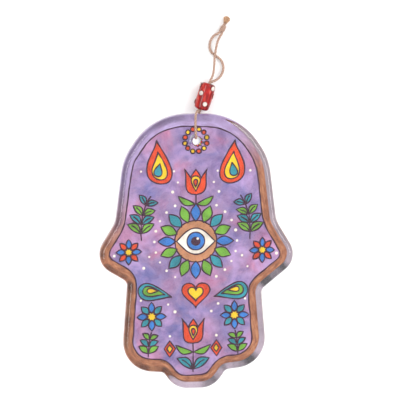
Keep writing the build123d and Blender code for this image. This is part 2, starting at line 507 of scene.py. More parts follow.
def brushed_line():
    """Flat ribbons of paint along lines and loops, now thicker and now thinner."""
    make = Shaper("brushed_line", Wobble="Float", Width="Float", Film="Float", Level="Float")
    line = make.geo("SetCurveNormal", {"Curve": make.shaken_curve()}, mode="Z_UP")
    swell = make.ranged(make.noise(make.geo("InputPosition"), 240.0, 1.0), 0.3, 0.7, 0.7, 1.25)
    sides = {"Width": make.given["Width"], "Height": make.given["Film"]}
    brush = make.geo("CurvePrimitiveQuadrilateral", sides)
    ribbon = {"Curve": line, "Profile Curve": brush, "Scale": swell, "Fill Caps": True}
    return make.finish(make.raised(make.geo("CurveToMesh", ribbon)))


def paint_drops():
    """Flattened drops of paint of uneven size, one on each point."""
    make = Shaper("paint_drops", Radius="Float", Film="Float", Level="Float", Seed="Int")
    drop = make.geo("MeshUVSphere", {"Segments": 10, "Rings": 6, "Radius": 1.0})
    uneven = make.add("FunctionNodeRandomValue", {2: 0.75, 3: 1.25, "Seed": make.given["Seed"]}, 1)
    radius = make.math("MULTIPLY", make.given["Radius"], uneven)
    size = make.combine(radius, radius, make.given["Film"])
    drops = make.geo("InstanceOnPoints", {"Points": make.given["Geometry"], "Instance": drop, "Scale": size})
    return make.finish(make.raised(drops))


def on_the_bead(make, shape, size):
    """Ends a tree with a shape on each point, turned away from the bead's own Z axis."""
    outward = make.vector("MULTIPLY", make.geo("InputPosition"), (1.0, 1.0, 0.0))
    turn = make.add("FunctionNodeAlignRotationToVector", {"Vector": outward}, axis="Z")
    return make.finish(make.geo("InstanceOnPoints", {
        "Points": make.given["Geometry"], "Instance": shape, "Rotation": turn, "Scale": size}))


def raised_dots():
    """Drops of glass on points round the bead."""
    make = Shaper("raised_dots", Radius="Float", Height="Float")
    drop = make.geo("MeshUVSphere", {"Segments": 20, "Rings": 12, "Radius": 1.0})
    radius = make.given["Radius"]
    return on_the_bead(make, drop, make.combine(radius, radius, make.given["Height"]))


def dot_rims():
    """Rims round the drops of glass."""
    make = Shaper("dot_rims", Radius="Float", Rim="Float")
    ring = make.geo("CurvePrimitiveCircle", {"Resolution": 24, "Radius": make.given["Radius"]})
    section = make.geo("CurvePrimitiveCircle", {"Resolution": 8, "Radius": make.given["Rim"]})
    rim = make.geo("CurveToMesh", {"Curve": ring, "Profile Curve": section})
    return on_the_bead(make, rim, (1.0, 1.0, 1.0))


# Materials

class Look(Nodes):
    """A material with its shader and its Object coordinates."""

    def __init__(self, name):
        self.material = bpy.data.materials.new(name)
        self.material.use_nodes = True
        super().__init__(self.material.node_tree)
        self.shader = self.tree.nodes["Principled BSDF"]
        self.place = self.add("ShaderNodeTexCoord", out="Object")

    def attribute(self, name):
        """A value that the mesh keeps."""
        return self.add("ShaderNodeAttribute", out="Fac", attribute_name=name)

    def mixed(self, factor, first, second, blend="MIX"):
        """A mix of two colours or colour sockets."""
        return self.add("ShaderNodeMix", {"Factor": factor, "A": first, "B": second}, "Result",
                        data_type="RGBA", blend_type=blend)

    def bump(self, height, strength, distance):
        """Bump from a height onto the shader."""
        values = {"Height": height, "Strength": strength, "Distance": distance}
        self.feed(self.shader.inputs["Normal"], self.add("ShaderNodeBump", values))

    def put(self, **values):
        """Feeds the shader, with underscores for the spaces in its sockets' names, and gives the material."""
        for key, value in values.items():
            self.feed(self.shader.inputs[key.replace("_", " ")], value)
        return self.material

    def paint(self, colour):
        """Finishes the material as brushed paint of a colour."""
        self.bump(self.noise(self.place, 900.0, 2.0), 0.15, 0.0002)
        return self.put(Base_Color=colour, Roughness=0.4, Specular_IOR_Level=0.2)


def shade(colour, factor):
    """A colour made darker or lighter by a factor."""
    return tuple(min(1.0, c * factor) for c in colour)


def glass_material(settings):
    """Clear polished glass, a little wavy. Its dull rim has a painted shade colour, darkest where it faces down to
    the right.
    """
    look = Look("clear_glass")
    rim = look.attribute("rim")
    # Painted shade: the rim's colour darkens where it faces down to the right.
    facing = look.math("ADD", look.math("MULTIPLY", look.attribute("out_x"), 0.53),
                       look.math("MULTIPLY", look.attribute("out_y"), -0.85))
    cloud = look.math("MULTIPLY_ADD", look.noise(look.place, 150.0), 0.55, 0.22)
    tone = look.math("SUBTRACT", cloud, look.ranged(facing, 0.86, 0.99, 0.0, 0.42))
    ground = look.ramp(tone, (0.0, shade(settings.ground, 0.05)), (0.4, settings.ground),
                       (0.7, shade(settings.ground, 1.6)))
    polish = look.ranged(look.noise(look.place, 320.0, 4.0), 0.0, 1.0, 0.0, 0.05)
    look.bump(look.noise(look.place, 55.0, 2.0), 0.02, 0.001)
    return look.put(Base_Color=look.mixed(rim, settings.tint, ground), Transmission_Weight=1.0,
                    IOR=settings.ior, Roughness=look.math("MULTIPLY_ADD", rim, 0.2, polish))


def paint_material(name, colour, spread=0.3, scale=140.0):
    """Brushed paint that runs from a darker to a lighter shade of a colour."""
    look = Look(name)
    cloud = look.noise(look.place, scale, 4.0, 0.55, 0.4)
    return look.paint(look.ramp(cloud, (0.3, shade(colour, 1 - spread)), (0.5, colour),
                                (0.7, shade(colour, 1 + spread))))


def ground_material(settings):
    """Mottled ground: lavender with warm and cool clouds and pale patches."""
    look = Look("mottled_ground")
    cloud = look.noise(look.place, 42.0, 4.0, 0.55, 0.6)
    clouds = look.ramp(cloud, (0.32, settings.sky), (0.5, settings.lavender), (0.66, settings.rose))
    patch = look.ranged(look.noise(look.place, 70.0, 5.0, 0.6, 0.8), 0.46, 0.68, 0.0, 0.75)
    mottle = look.ramp(look.noise(look.place, 120.0, 5.0, 0.6, 0.5), (0.34, (0.66, 0.6, 0.7)),
                       (0.58, (1.0, 1.0, 1.0)))
    pale = look.mixed(patch, clouds, shade(settings.lavender, 1.6))
    return look.paint(look.mixed(1.0, pale, mottle, "MULTIPLY"))


def border_material(settings):
    """Brown border with streaks along the band, mauve on the dome, with painted shade on its outer rim on the
    left.
    """
    look = Look("streaked_border")
    across = look.attribute("across")
    ways = ((look.attribute("ring_x"), 11.0), (look.attribute("ring_y"), 11.0), (across, 2.6))
    drawn = look.combine(*(look.math("MULTIPLY", way, scale) for way, scale in ways))
    streak = look.noise(drawn, 1.0, 4.0, 0.6, 0.3)
    brown, mauve = settings.brown, settings.mauve
    browns = look.ramp(streak, (0.3, shade(brown, 0.5)), (0.48, brown), (0.68, settings.amber))
    mauves = look.ramp(streak, (0.3, settings.lavender), (0.5, mauve), (0.7, shade(mauve, 1.3)))
    climb = look.vector("DOT_PRODUCT", look.place, (-0.5, 1.0, 0.0), out="Value")
    band = look.mixed(look.ranged(climb, 0.028, 0.06), browns, mauves)
    # Painted shade: the band's outer edge darkens where it faces left, for dark surroundings seen in the rounded
    # glass edge.
    dark = look.math("MULTIPLY", look.ranged(across, 0.12, 0.36, 0.85, 0.0),
                     look.ranged(look.attribute("out_x"), 0.35, -0.35))
    return look.paint(look.mixed(dark, band, (0.3, 0.28, 0.32), "MULTIPLY"))


def cord_material(name, plies, light, dark, root=0.0):
    """Waxed yarn with fibres along its twist: painted light on the plies, painted shade between them and at its
    root.
    """
    look = Look(name)
    around, along = look.attribute("around"), look.attribute("along")
    # Painted light and shade across the plies: lit on their crowns, shaded in the grooves.
    lobes = look.math("COSINE", look.math("MULTIPLY", around, math.tau * plies))
    drawn = look.combine(look.math("MULTIPLY", around, 40.0), look.math("MULTIPLY", along, 900.0))
    fibres = look.noise(drawn, 1.0)
    tone = look.math("MULTIPLY_ADD", lobes, 0.28, look.math("ADD", fibres, -0.05))
    colour = look.ramp(tone, (0.15, dark), (0.75, light))
    # Painted shade over the root, where the tails leave the knot.
    if root:
        shadow = look.ranged(along, 0.3 * root, root, 1.0, 0.0)
        colour = look.mixed(shadow, colour, (0.36, 0.3, 0.28), "MULTIPLY")
    look.bump(fibres, 0.4, 0.0002)
    return look.put(Base_Color=colour, Roughness=0.62, Sheen_Weight=0.15)


def bead_material(settings):
    """Deep red glass with dark and pale swirls along the bead."""
    look = Look("bead_glass")
    turned = look.add("ShaderNodeMapping", {"Vector": look.place, "Rotation": (0.0, 0.0, BEAD_TURN)})
    swirl = look.noise(look.vector("MULTIPLY", turned, (1.0, 0.4, 1.0)), 330.0, 3.0, 0.55, 1.2)
    colour = look.ramp(swirl, (0.34, shade(settings.red, 0.28)), (0.45, shade(settings.red, 0.68)),
                       (0.56, settings.red), (0.72, settings.streak))
    look.bump(look.noise(look.place, 420.0, 2.0), 0.1, 0.0004)
    return look.put(Base_Color=colour, Roughness=0.06, IOR=1.5, Subsurface_Weight=0.12,
                    Subsurface_Radius=(0.002, 0.0004, 0.0003))


# The glass. Rings beside the rounded edges keep its flat faces shaded flat, and its dull rim starts
# just under the edge of the paint.

OUTLINE_POINTS = 720
HOLE_POINTS = 64
EDGE_STEPS = 10
SUPPORT = 0.8 * MM
DULL_START = 0.05 * MM


def laid_flat(node):
    """A node's merged copy as a bmesh, laid flat."""
    work = bmesh.new()
    work.from_mesh(frame["nodes"][node].data)
    bmesh.ops.transform(work, matrix=FLAT, verts=work.verts)
    bmesh.ops.remove_doubles(work, verts=work.verts, dist=1e-6)
    return work


def glass_faces():
    """Heights of the back and the front of the flat glass."""
    work = laid_flat("glass_hand")
    heights = [vert.co.z for vert in work.verts]
    work.free()
    return min(heights), max(heights)


GLASS_BACK, GLASS_FRONT = glass_faces()


def even_loop(points, count):
    """A closed line of evenly spaced points, eased so that its facets vanish."""
    closed = points + points[:1]
    reach = [0.0]
    for here, there in zip(closed, closed[1:]):
        reach.append(reach[-1] + (there - here).length)
    result, leg = [], 0
    for i in range(count):
        target = reach[-1] * i / count
        while reach[leg + 1] < target:
            leg += 1
        share = (target - reach[leg]) / (reach[leg + 1] - reach[leg])
        result.append(closed[leg].lerp(closed[leg + 1], share))
    for _ in range(3):
        result = [(result[i - 1] + 2 * result[i] + result[(i + 1) % count]) / 4 for i in range(count)]
    return result


def paint_outline(count=OUTLINE_POINTS):
    """Outline of the painted area, counterclockwise and flat, read from the border coat."""
    work = laid_flat("border_coat")
    back = [face for face in work.faces if face.normal.z < -0.9]
    rim = {edge for face in back for edge in face.edges if sum(f in back for f in edge.link_faces) == 1}
    start = max((vert for edge in rim for vert in edge.verts), key=lambda vert: (vert.co.y, vert.co.x))
    loop, here, last = [], start, None
    while here is not start or not loop:
        loop.append(here.co.to_2d())
        edge = next(e for e in here.link_edges if e in rim and e is not last)
        here, last = edge.other_vert(here), edge
    work.free()
    area = sum(here.cross(there) for here, there in sides(loop))
    return even_loop(loop if area > 0 else loop[:1] + loop[:0:-1], count)


def outward_ways(loop):
    """Unit vectors that point out of a counterclockwise loop."""
    ways = [(loop[(i + 1) % len(loop)] - loop[i - 1]).normalized() for i in range(len(loop))]
    return [Vector((way.y, -way.x)) for way in ways]


def inset(loop, depth):
    """A loop moved inwards by a depth, or outwards by a negative one."""
    return [here - outward * depth for here, outward in zip(loop, outward_ways(loop))]


def glass_mesh(settings):
    """The slab: seamed back edge, wall, rounded front edge, and the bevelled hole."""
    low, high = GLASS_BACK, GLASS_FRONT
    back, front = settings.back_radius, settings.front_radius
    arc = quarter_turn(EDGE_STEPS)
    profile = [(settings.edge_inset + DULL_START, low), (settings.edge_inset, low), (back + SUPPORT, low)]
    profile += [(back * by_sine, low + back * by_cosine) for by_sine, by_cosine in arc]
    dull = range(1, len(profile))
    profile += [(front * by_cosine, high - front * by_sine) for by_sine, by_cosine in arc]
    profile.append((front + SUPPORT, high))
    bore, bevel = settings.hole_radius, settings.hole_bevel
    hole = [(bore + bevel + SUPPORT, low), (bore + bevel, low), (bore, low + bevel),
            (bore, high - bevel), (bore + bevel, high), (bore + bevel + SUPPORT, high)]
    outline = inset(paint_outline(), -settings.edge_inset)
    work = bmesh.new()
    layers = value_layers(work, "rim", "out_x", "out_y")
    rings = [ring_of(work, inset(outline, depth), height) for depth, height in profile]
    for number, ring in enumerate(rings):
        for vert, outward in zip(ring, outward_ways(outline)):
            keep_values(vert, layers, float(number in dull), *outward)
    holes = [ring_of(work, circle(radius, HOLE_POINTS, HOLE), height) for radius, height in hole]
    for lower, upper in list(zip(rings, rings[1:])) + list(zip(holes, holes[1:])):
        bridge(work, lower, upper)
    for end in (0, -1):
        cap(work, rings[end], holes[end])
    work.transform(AS_IT_LIES)
    return smooth(closed_mesh(work, "glass_slab"))


class HAMSA_OT_glass(bpy.types.Operator):
    """Makes the clear glass slab"""
    bl_idname = "hamsa.glass"
    bl_label = "Glass hand"

    def execute(self, context):
        settings = context.scene.hamsa_glass
        slab = add_object("glass_slab", glass_mesh(settings), glass_material(settings))
        slab.visible_shadow = False
        dress(slab, "hand", "clear_glass", "glass_hand")
        return {"FINISHED"}


class HAMSA_OT_coats(bpy.types.Operator):
    """Paints the coats on the back of the glass"""
    bl_idname = "hamsa.coats"
    bl_label = "Painted coats"

    def execute(self, context):
        settings = context.scene.hamsa_paint
        coats = {
            "border_coat": paint_material("border_back", settings.border_back),
            "field_coat": paint_material("field_back", settings.field_back, 0.15, 60.0),
            "cuff_coat": paint_material("cuff_back", settings.cuff_back, 0.2, 90.0),
        }
        for node, material in coats.items():
            frame["nodes"][node].data.materials.clear()
            frame["nodes"][node].data.materials.append(material)
        return {"FINISHED"}


# Shapes of the painted design: outlines in millimetres on the flat back, growing up from their root

def teardrop(length, width, count=22):
    """A drop, pointed at its root and round at its end."""
    outline = []
    for turn in all_round(count):
        out = 0.72 * width * math.sin(turn) * math.sin(turn / 2) ** 1.5
        outline.append(Vector((out, length * (1 - math.cos(turn)) / 2)))
    return outline


def paisley(length, width, curl):
    """A drop whose pointed root bends aside."""
    drop = teardrop(length, width, 36)
    return [point + Vector((curl * (1 - point.y / length) ** 2, 0.0)) for point in drop]


def leaf(length, width, bend=0.0, count=9):
    """A leaf, pointed at both ends, that may bend aside."""
    right, left = [], []
    for i in range(count + 1):
        swell = math.sin(math.pi * i / count)
        spine = Vector((bend * swell, length * i / count))
        right.append(spine + Vector((width / 2 * swell, 0.0)))
        left.append(spine - Vector((width / 2 * swell, 0.0)))
    return right + left[-2:0:-1]


def heart(width, count=36):
    """A heart on its tip."""
    outline = []
    for t in all_round(count):
        rise = 17 + 13 * math.cos(t) - 5 * math.cos(2 * t) - 2 * math.cos(3 * t) - math.cos(4 * t)
        outline.append(Vector((16 * math.sin(t) ** 3, rise)) * width / 32)
    return outline


def tulip_cup(height):
    """A tulip with three points."""
    half = []
    for knots in (((0.0, 0.0), (0.62, 0.0), (0.26, 0.62), (0.45, 1.0)),
                  ((0.45, 1.0), (0.36, 0.86), (0.24, 0.74), (0.2, 0.62)),
                  ((0.2, 0.62), (0.17, 0.76), (0.06, 0.88), (0.0, 0.97))):
        half += interpolate_bezier(*(Vector(knot) * height for knot in knots), 9)[:-1]
    return half + [Vector((0.0, 0.97 * height))] + [Vector((-point.x, point.y)) for point in half[:0:-1]]


def lozenge(width, height):
    """A lozenge that stands on its point."""
    across, middle = width / 2, height / 2
    corners = [Vector(corner) for corner in ((0.0, 0.0), (across, middle), (0.0, height), (-across, middle))]
    return [here.lerp(there, i / 4) for here, there in sides(corners) for i in range(4)]


def bent_line(start, heading, length, turn, count=26):
    """A line that bends more and more, by a full turn in degrees; its heading is in degrees from +X."""
    line = [Vector(start)]
    for i in range(count):
        aim = math.radians(heading + turn * ((i + 0.5) / count) ** 1.7)
        line.append(line[-1] + Vector((math.cos(aim), math.sin(aim))) * length / count)
    return line


def placed(outline, place=(0.0, 0.0), turn=0.0):
    """An outline turned by degrees and moved to its place."""
    spin = Matrix.Rotation(math.radians(turn), 2)
    return [spin @ Vector(point) + Vector(place) for point in outline]


class Painting:
    """Painted shapes by colour and level, contour lines and dots. Side -1 draws them mirrored."""

    def __init__(self):
        self.fills, self.loops, self.strokes, self.dots = {}, [], [], []
        self.side, self.shift = 1, Vector((0.0, 0.0))

    def drawn(self, outline, *place):
        """An outline placed, then mirrored to its side and shifted."""
        return [Vector((self.side * point.x, point.y)) + self.shift for point in placed(outline, *place)]

    def fill(self, colour, level, outline, *place):
        """Adds a shape and its contour."""
        shape = self.drawn(outline, *place)
        self.fills.setdefault(colour, {}).setdefault(level, []).append(shape)
        self.loops.append(shape)

    def wreath(self, shape, middle, count, colours, first=0.0):
        """Adds a shape all round a middle, in colours that take turns."""
        for i in range(count):
            self.fill(colours[i % len(colours)], 2, shape, middle, first + 360 / count * i)

    def stroke(self, line, *place):
        """Adds a contour line by itself."""
        self.strokes.append(self.drawn(line, *place))

    def dot(self, points, *place):
        """Adds dots."""
        self.dots += self.drawn(points, *place)


FINGER_SHIFT = Vector((-1.5, 0.0))
RIBBED_LEAF = 8.0
LEAF_ASIDE = 0.25
LEAF_SPLAY = 54


def daisy(art, middle, reach, colours):
    """A flower of eight pointed petals with a disc in its middle."""
    petal = placed(leaf(0.78 * reach, 0.42 * reach), (0.0, 0.22 * reach))
    art.wreath(petal, middle, 8, colours)
    art.fill("yellow", 4, circle(0.3 * reach, 16), middle)


def sprig(art, stem, pairs, length, width, colours):
    """A stem with pairs of leaves that grow smaller towards its tip. Long leaves have a rib."""
    art.stroke(stem)
    for i in range(pairs):
        share = 0.14 + 0.86 * i / pairs
        at = round(share * (len(stem) - 2))
        ahead = stem[at + 1] - stem[at]
        heading = math.degrees(math.atan2(ahead.y, ahead.x)) - 90
        size = 1 - 0.35 * share
        for hand in (1, -1):
            bend = -0.1 * hand * length * size
            place = stem[at] + Vector((LEAF_ASIDE * hand, 0.0)), heading - LEAF_SPLAY * hand
            art.fill(colours[i % len(colours)], 2, leaf(length * size, width * size, bend), *place)
            if length > RIBBED_LEAF:
                rib = [(bend * math.sin(math.pi * u / 8), length * size * u / 8) for u in range(7)]
                art.stroke(rib, *place)


def tulip(art, root, height):
    """A tulip with a bright core, on a short stem with two leaves."""
    root = Vector(root)
    foot = root - Vector((0.0, 0.36 * height))
    art.stroke([foot, root])
    art.fill("orange", 2, tulip_cup(height), root)
    cores = (("yellow", 3, 0.6, 0.34, 0.12), ("orange", 4, 0.3, 0.15, 0.28))
    for colour, level, length, width, rise in cores:
        place = root + Vector((0.0, rise * height))
        art.fill(colour, level, teardrop(length * height, width * height), place)
    for hand in (1, -1):
        blade = leaf(0.72 * height, 0.24 * height, 0.1 * hand * height)
        art.fill("green", 2, blade, foot + Vector((LEAF_ASIDE * hand, 0.0)), -66 * hand)


def eye_rosette(art, middle):
    """An almond eye on a disc, with pointed petals all round it and a ring of dots."""
    middle = Vector(middle)
    art.wreath(placed(leaf(10.4, 5.6), (0.0, 11.6)), middle, 16, ("blue", "green", "teal", "green"))
    art.fill("amber", 2, circle(12.2, 44), middle)
    art.fill("cream", 3, leaf(22.4, 15.4, count=16), middle - Vector((11.2, 0.0)), -90)
    art.fill("blue", 4, circle(5.2, 26), middle)
    art.fill("contour", 5, circle(2.4, 18), middle)
    art.dot([point for point in circle(24.0, 24) if abs(point.x) > 9], middle)
    art.dot([(1.1, 1.5)], middle)


def upper_motifs(art):
    """What stands beside the tulip and the eye."""
    art.fill("orange", 2, paisley(23.5, 15.0, -7.5), (15.6, 62.6), 197)
    art.fill("yellow", 3, paisley(15.0, 9.0, -4.8), (17.4, 56.8), 197)
    art.fill("teal", 4, teardrop(7.6, 4.6), (20.8, 51.6), 192)
    sprig(art, bent_line((31.6, 7.0), 88, 27.0, 40), 4, 9.6, 4.8, ("green", "teal"))
    daisy(art, (38.8, 0.4), 7.4, ("blue", "orange"))
    art.dot(((10.4, 40.5), (13.4, 35.0), (31.6, 47.0), (27.0, -2.5), (12.6, 47.0), (30.2, -9.0),
             (47.2, -1.6)))


def lower_motifs(art):
    """What stands beside the heart and on the outer fingers."""
    art.fill("teal", 2, paisley(19.0, 10.0, 5.4), (13.0, -21.0), -97)
    art.fill("green", 3, paisley(12.4, 6.0, 3.6), (17.0, -21.2), -98)
    art.fill("yellow", 4, teardrop(6.4, 2.9), (20.4, -22.6), -86)
    art.fill("orange", 2, lozenge(6.6, 9.6), (13.6, -61.6))
    art.fill("yellow", 3, lozenge(3.2, 4.8), (13.6, -59.2))
    sprig(art, bent_line((26.2, -61.5), 91, 15.0, 16), 3, 7.2, 3.7, ("green", "teal"))
    daisy(art, (24.2, -37.6), 8.4, ("blue", "teal"))
    art.dot(((10.6, -35.0), (14.6, -30.6), (30.4, -28.0), (13.6, -49.4)))


def hamsa_design():
    """The whole painted design, alike on both sides of the hand."""
    art = Painting()
    art.wreath(circle(1.3, 14, (0.0, 6.5)), HOLE / MM, 12, ("orange", "yellow"), 15)
    tulip(art, (0.0, 33.4), 15.0)
    eye_rosette(art, (0.0, 6.2))
    art.fill("orange", 2, heart(16.5), (0.0, -33.2))
    art.fill("yellow", 3, heart(9.0), (0.0, -29.0))
    for side in (1, -1):
        art.side, art.shift = side, Vector((0.0, 0.0))
        upper_motifs(art)
        art.shift = FINGER_SHIFT
        lower_motifs(art)
    art.side = 1
    sprig(art, bent_line((0.0, -71.0), 90, 12.0, 0), 1, 12.0, 5.2, ("teal",))
    tulip(art, (0.0, -53.8), 15.0)
    return art


# The paint, in films that lie one over the other just inside the back of the glass

PAINT_FILM = 0.03 * MM
BACK_GAP = 0.005 * MM
LEVEL_STEP = 0.035 * MM
LINE_STEP = 0.002 * MM
LINE_STEPS = 9
CONTOUR_LEVEL, DOT_LEVEL = 6, 7
BORDER_STEPS = 4
MARGIN_POINTS = 48
LOW_LEFT_PLACE = 12 * MM, 20 * MM
LOW_LEFT_FACING = 0.1, 0.5
DOT_SEED = 5


def level_height(level):
    """Height of a level of paint."""
    return GLASS_BACK + BACK_GAP + level * LEVEL_STEP


def in_metres(outlines, lift=0.0):
    """Outlines in metres, each lifted a little above the one before it, in a few steps."""
    return [[(point.x * MM, point.y * MM, lift * (i % LINE_STEPS)) for point in outline]
            for i, outline in enumerate(outlines)]


def on_the_level(loop):
    """Points of a flat loop with a height of nothing."""
    return [(*point, 0.0) for point in loop]


def plate(name, loops, level, settings, material):
    """Mesh of painted plates inside loops given in metres."""
    return made_by(painted_plate, line_object(name, [], loops), name, Wobble=settings.wobble, Film=PAINT_FILM,
                   Level=level_height(level), Material=material)


def on_the_glass(name, mesh, slot, *materials):
    """Lays a flat painted mesh on the back of the glass as a piece of the hand."""
    mesh.transform(AS_IT_LIES)
    dress(add_object(name, mesh, *materials), "hand", slot)


def held(value, start, end):
    """Share of the way from start to end, held between 0 and 1."""
    return min(1.0, max(0.0, (value - start) / (end - start)))


def border_line(settings, outline, across):
    """A line along the border, a share of its width in from its rim.

    The band is narrower on the left, and its rim runs nearer to the edge of the glass at the lower left.
    """
    line = []
    for here, outward in zip(outline, outward_ways(outline)):
        width = settings.border_width * (1 - settings.left_thinning * max(0.0, -outward.x))
        low_left = held(-here.x, *LOW_LEFT_PLACE) * held(-outward.y, *LOW_LEFT_FACING)
        line.append(here + outward * (settings.low_reach * low_left * (1 - across) - width * across))
    return line


def border_mesh(settings):
    """The border band, which keeps its way round, its way across and how far it faces right."""
    low = level_height(1)
    section = [(across, low) for across in shares(BORDER_STEPS)]
    section += [(across, low + PAINT_FILM) for across in shares(BORDER_STEPS)[::-1]]
    outline = paint_outline()
    work = bmesh.new()
    layers = value_layers(work, "ring_x", "ring_y", "across", "out_x")
    rings = []
    for across, height in section:
        ring = ring_of(work, border_line(settings, outline, across), height)
        for vert, way, outward in zip(ring, circle(1.0, len(ring)), outward_ways(outline)):
            keep_values(vert, layers, *way, across, outward.x)
        rings.append(ring)
    return closed_tube(work, rings, "painted_border")


class HAMSA_OT_ground(bpy.types.Operator):
    """Paints the mottled ground and the streaked border"""
    bl_idname = "hamsa.ground"
    bl_label = "Ground and border"

    def execute(self, context):
        settings = context.scene.hamsa_paint
        rim = on_the_level(border_line(settings, paint_outline(), 0.5))
        free = on_the_level(circle(settings.hole_margin, MARGIN_POINTS, HOLE))
        ground = plate("painted_ground", [rim, free], 0, settings, ground_material(settings))
        on_the_glass("painted_ground", ground, "field_paint")
        on_the_glass("painted_border", border_mesh(settings), "border_paint", border_material(settings))
        return {"FINISHED"}


class HAMSA_OT_motifs(bpy.types.Operator):
    """Paints the flowers, leaves, drops, heart and eye, one piece for each colour"""
    bl_idname = "hamsa.motifs"
    bl_label = "Motifs"

    def execute(self, context):
        settings = context.scene.hamsa_paint
        for colour, levels in hamsa_design().fills.items():
            material = paint_material("paint_" + colour, getattr(settings, colour))
            layers = [plate(f"{colour}_{level}", in_metres(outlines), level, settings, material)
                      for level, outlines in levels.items()]
            on_the_glass("motifs_" + colour, joined("motifs_" + colour, layers), "field_paint", material)
        return {"FINISHED"}


class HAMSA_OT_contours(bpy.types.Operator):
    """Draws the dark contour lines and sets the dots"""
    bl_idname = "hamsa.contours"
    bl_label = "Contours and dots"

    def execute(self, context):
        settings = context.scene.hamsa_paint
        art = hamsa_design()
        edge = on_the_level(border_line(settings, paint_outline(OUTLINE_POINTS // 2), 1.0))
        loops = in_metres(art.loops, LINE_STEP) + [edge]
        lines = line_object("contours", in_metres(art.strokes, LINE_STEP), loops)
        mesh = made_by(brushed_line, lines, "contour_lines", Wobble=settings.wobble,
                       Width=settings.line_width, Film=PAINT_FILM, Level=level_height(CONTOUR_LEVEL),
                       Material=paint_material("contour_paint", settings.contour))
        on_the_glass("contour_lines", mesh, "field_paint")
        dots = line_object("dots", in_metres([art.dots]))
        mesh = made_by(paint_drops, dots, "painted_dots", Radius=settings.dot_radius, Film=PAINT_FILM,
                       Level=level_height(DOT_LEVEL), Seed=DOT_SEED,
                       Material=paint_material("dot_paint", settings.cream, 0.1))
        on_the_glass("painted_dots", mesh, "field_paint")
        return {"FINISHED"}


# The cord

CORD_STEP = 0.3 * MM
CORD_GROOVE = 0.2
INNER_SHARE, KNOT_SHARE, PLY_SHARE, FIBRE_SHARE = 0.76, 0.85, 0.55, 0.17
INNER_SPARE = 1 * MM
# Length of painted shade at the tails' root, where they leave the knot.
ROOT_SHADE_LENGTH = 2.2 * MM


def smooth_line(name, route):
    """Points of the smooth line of a route, read from its NURBS spline."""
    curve = bpy.data.curves.new(name, "CURVE")
    curve.dimensions = "3D"
    spline = curve.splines.new("NURBS")
    spline.points.add(len(route) - 1)
    for point, place in zip(spline.points, route):
        point.co = (*(c * MM for c in place), 1.0)
    spline.order_u = 3
    spline.use_endpoint_u = True
    holder = add_object(name, curve)
    graph = bpy.context.evaluated_depsgraph_get()
    mesh = bpy.data.meshes.new_from_object(holder.evaluated_get(graph))
    points = [vert.co.copy() for vert in mesh.vertices]
    bpy.data.objects.remove(holder)
    bpy.data.curves.remove(curve)
    bpy.data.meshes.remove(mesh)
    return points


def cord_mesh(name, lines, settings, material, share=1.0):
    """Twisted tubes along lines of points, with a share of the cord's thickness."""
    return smooth(made_by(
        twisted_cord, line_object(name + "_line", lines), name, Diameter=settings.diameter * share,
        Pitch=settings.pitch, Plies=settings.plies, Groove=CORD_GROOVE, Step=CORD_STEP, Material=material))


class HAMSA_OT_cord(bpy.types.Operator):
    """Makes the lead loop through the hole and the two strands above the bead"""
    bl_idname = "hamsa.cord"
    bl_label = "Cord"

    def execute(self, context):
        settings = context.scene.hamsa_cord
        bead_length = context.scene.hamsa_bead.length
        material = cord_material("waxed_cord", settings.plies, settings.light, settings.dark)
        travel = SLIDE["range_m"][1]
        bead_top = BEAD_MIDDLE + BEAD_AXIS * bead_length / 2
        free_run = (KNOT_FOOT - bead_top).dot(BEAD_AXIS)
        runs = (("lead_loop", LEAD_ROUTE, ("front_lead", "back_lead"), "object"),
                ("straight_cord", STRAIGHT_ROUTE, ("straight_strand",), "knot"),
                ("wavy_cord", WAVY_ROUTE, ("wavy_strand",), "knot"))
        for name, route, nodes, far_end in runs:
            line = smooth_line(name, route)
            piece = add_object(name, cord_mesh(name, [line], settings, material))
            dress(piece, "cord", "cord", *nodes)
            if far_end == "knot":
                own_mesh(piece)
        inside = travel - bead_length + INNER_SPARE
        shown = [point for point in smooth_line("inner_run", STRAIGHT_ROUTE)
                 if (point - bead_top).dot(BEAD_AXIS) < inside]
        dress(add_object("inner_run", cord_mesh("inner_run", [shown], settings, material, INNER_SHARE)),
              "cord", "cord")
        return {"FINISHED"}


# The knot and its tails, in millimetres and degrees. Each turn of the knot has its start, its climb
# and its hand.

KNOT_LENGTH = 5.4
KNOT_TURNS = ((0.5, 1.5, 1), (1.45, 1.5, 1), (2.4, 1.5, -1))
STRAND_STEPS, TURN_STEPS = 8, 48
TAIL_SEED = 11
PLY_SPREADS = (-27, -17, -6, 5, 16, 26)
FIBRE_SPREAD, FIBRE_COUNT = 31, 46


def by_the_knot(out, on, up):
    """A place by the knot, in millimetres to its right, ahead and up from its foot."""
    ahead = Vector((math.sin(KNOT_HEADING), math.cos(KNOT_HEADING), 0.0))
    aside = Vector((math.cos(KNOT_HEADING), -math.sin(KNOT_HEADING), 0.0))
    return KNOT_FOOT + (aside * out + ahead * on + Vector((0.0, 0.0, up))) * MM


def knot_lines():
    """Two strands side by side, drawn in at the top, and the turns that are pulled tight round them."""
    lines = [[by_the_knot(side * (0.6 - 0.3 * share), KNOT_LENGTH * share, 0.0)
              for share in shares(STRAND_STEPS)] for side in (1, -1)]
    for start, climb, hand in KNOT_TURNS:
        wrap = []
        for share in shares(TURN_STEPS):
            turn = hand * math.tau * (1.25 * share + 0.1)
            reach = 0.45 + 0.65 * math.sin(math.pi * share) ** 0.3
            wrap.append(by_the_knot(reach * math.cos(turn), start + climb * share + 0.4 * math.sin(turn),
                                    reach * math.sin(turn)))
        lines.append(wrap)
    return lines


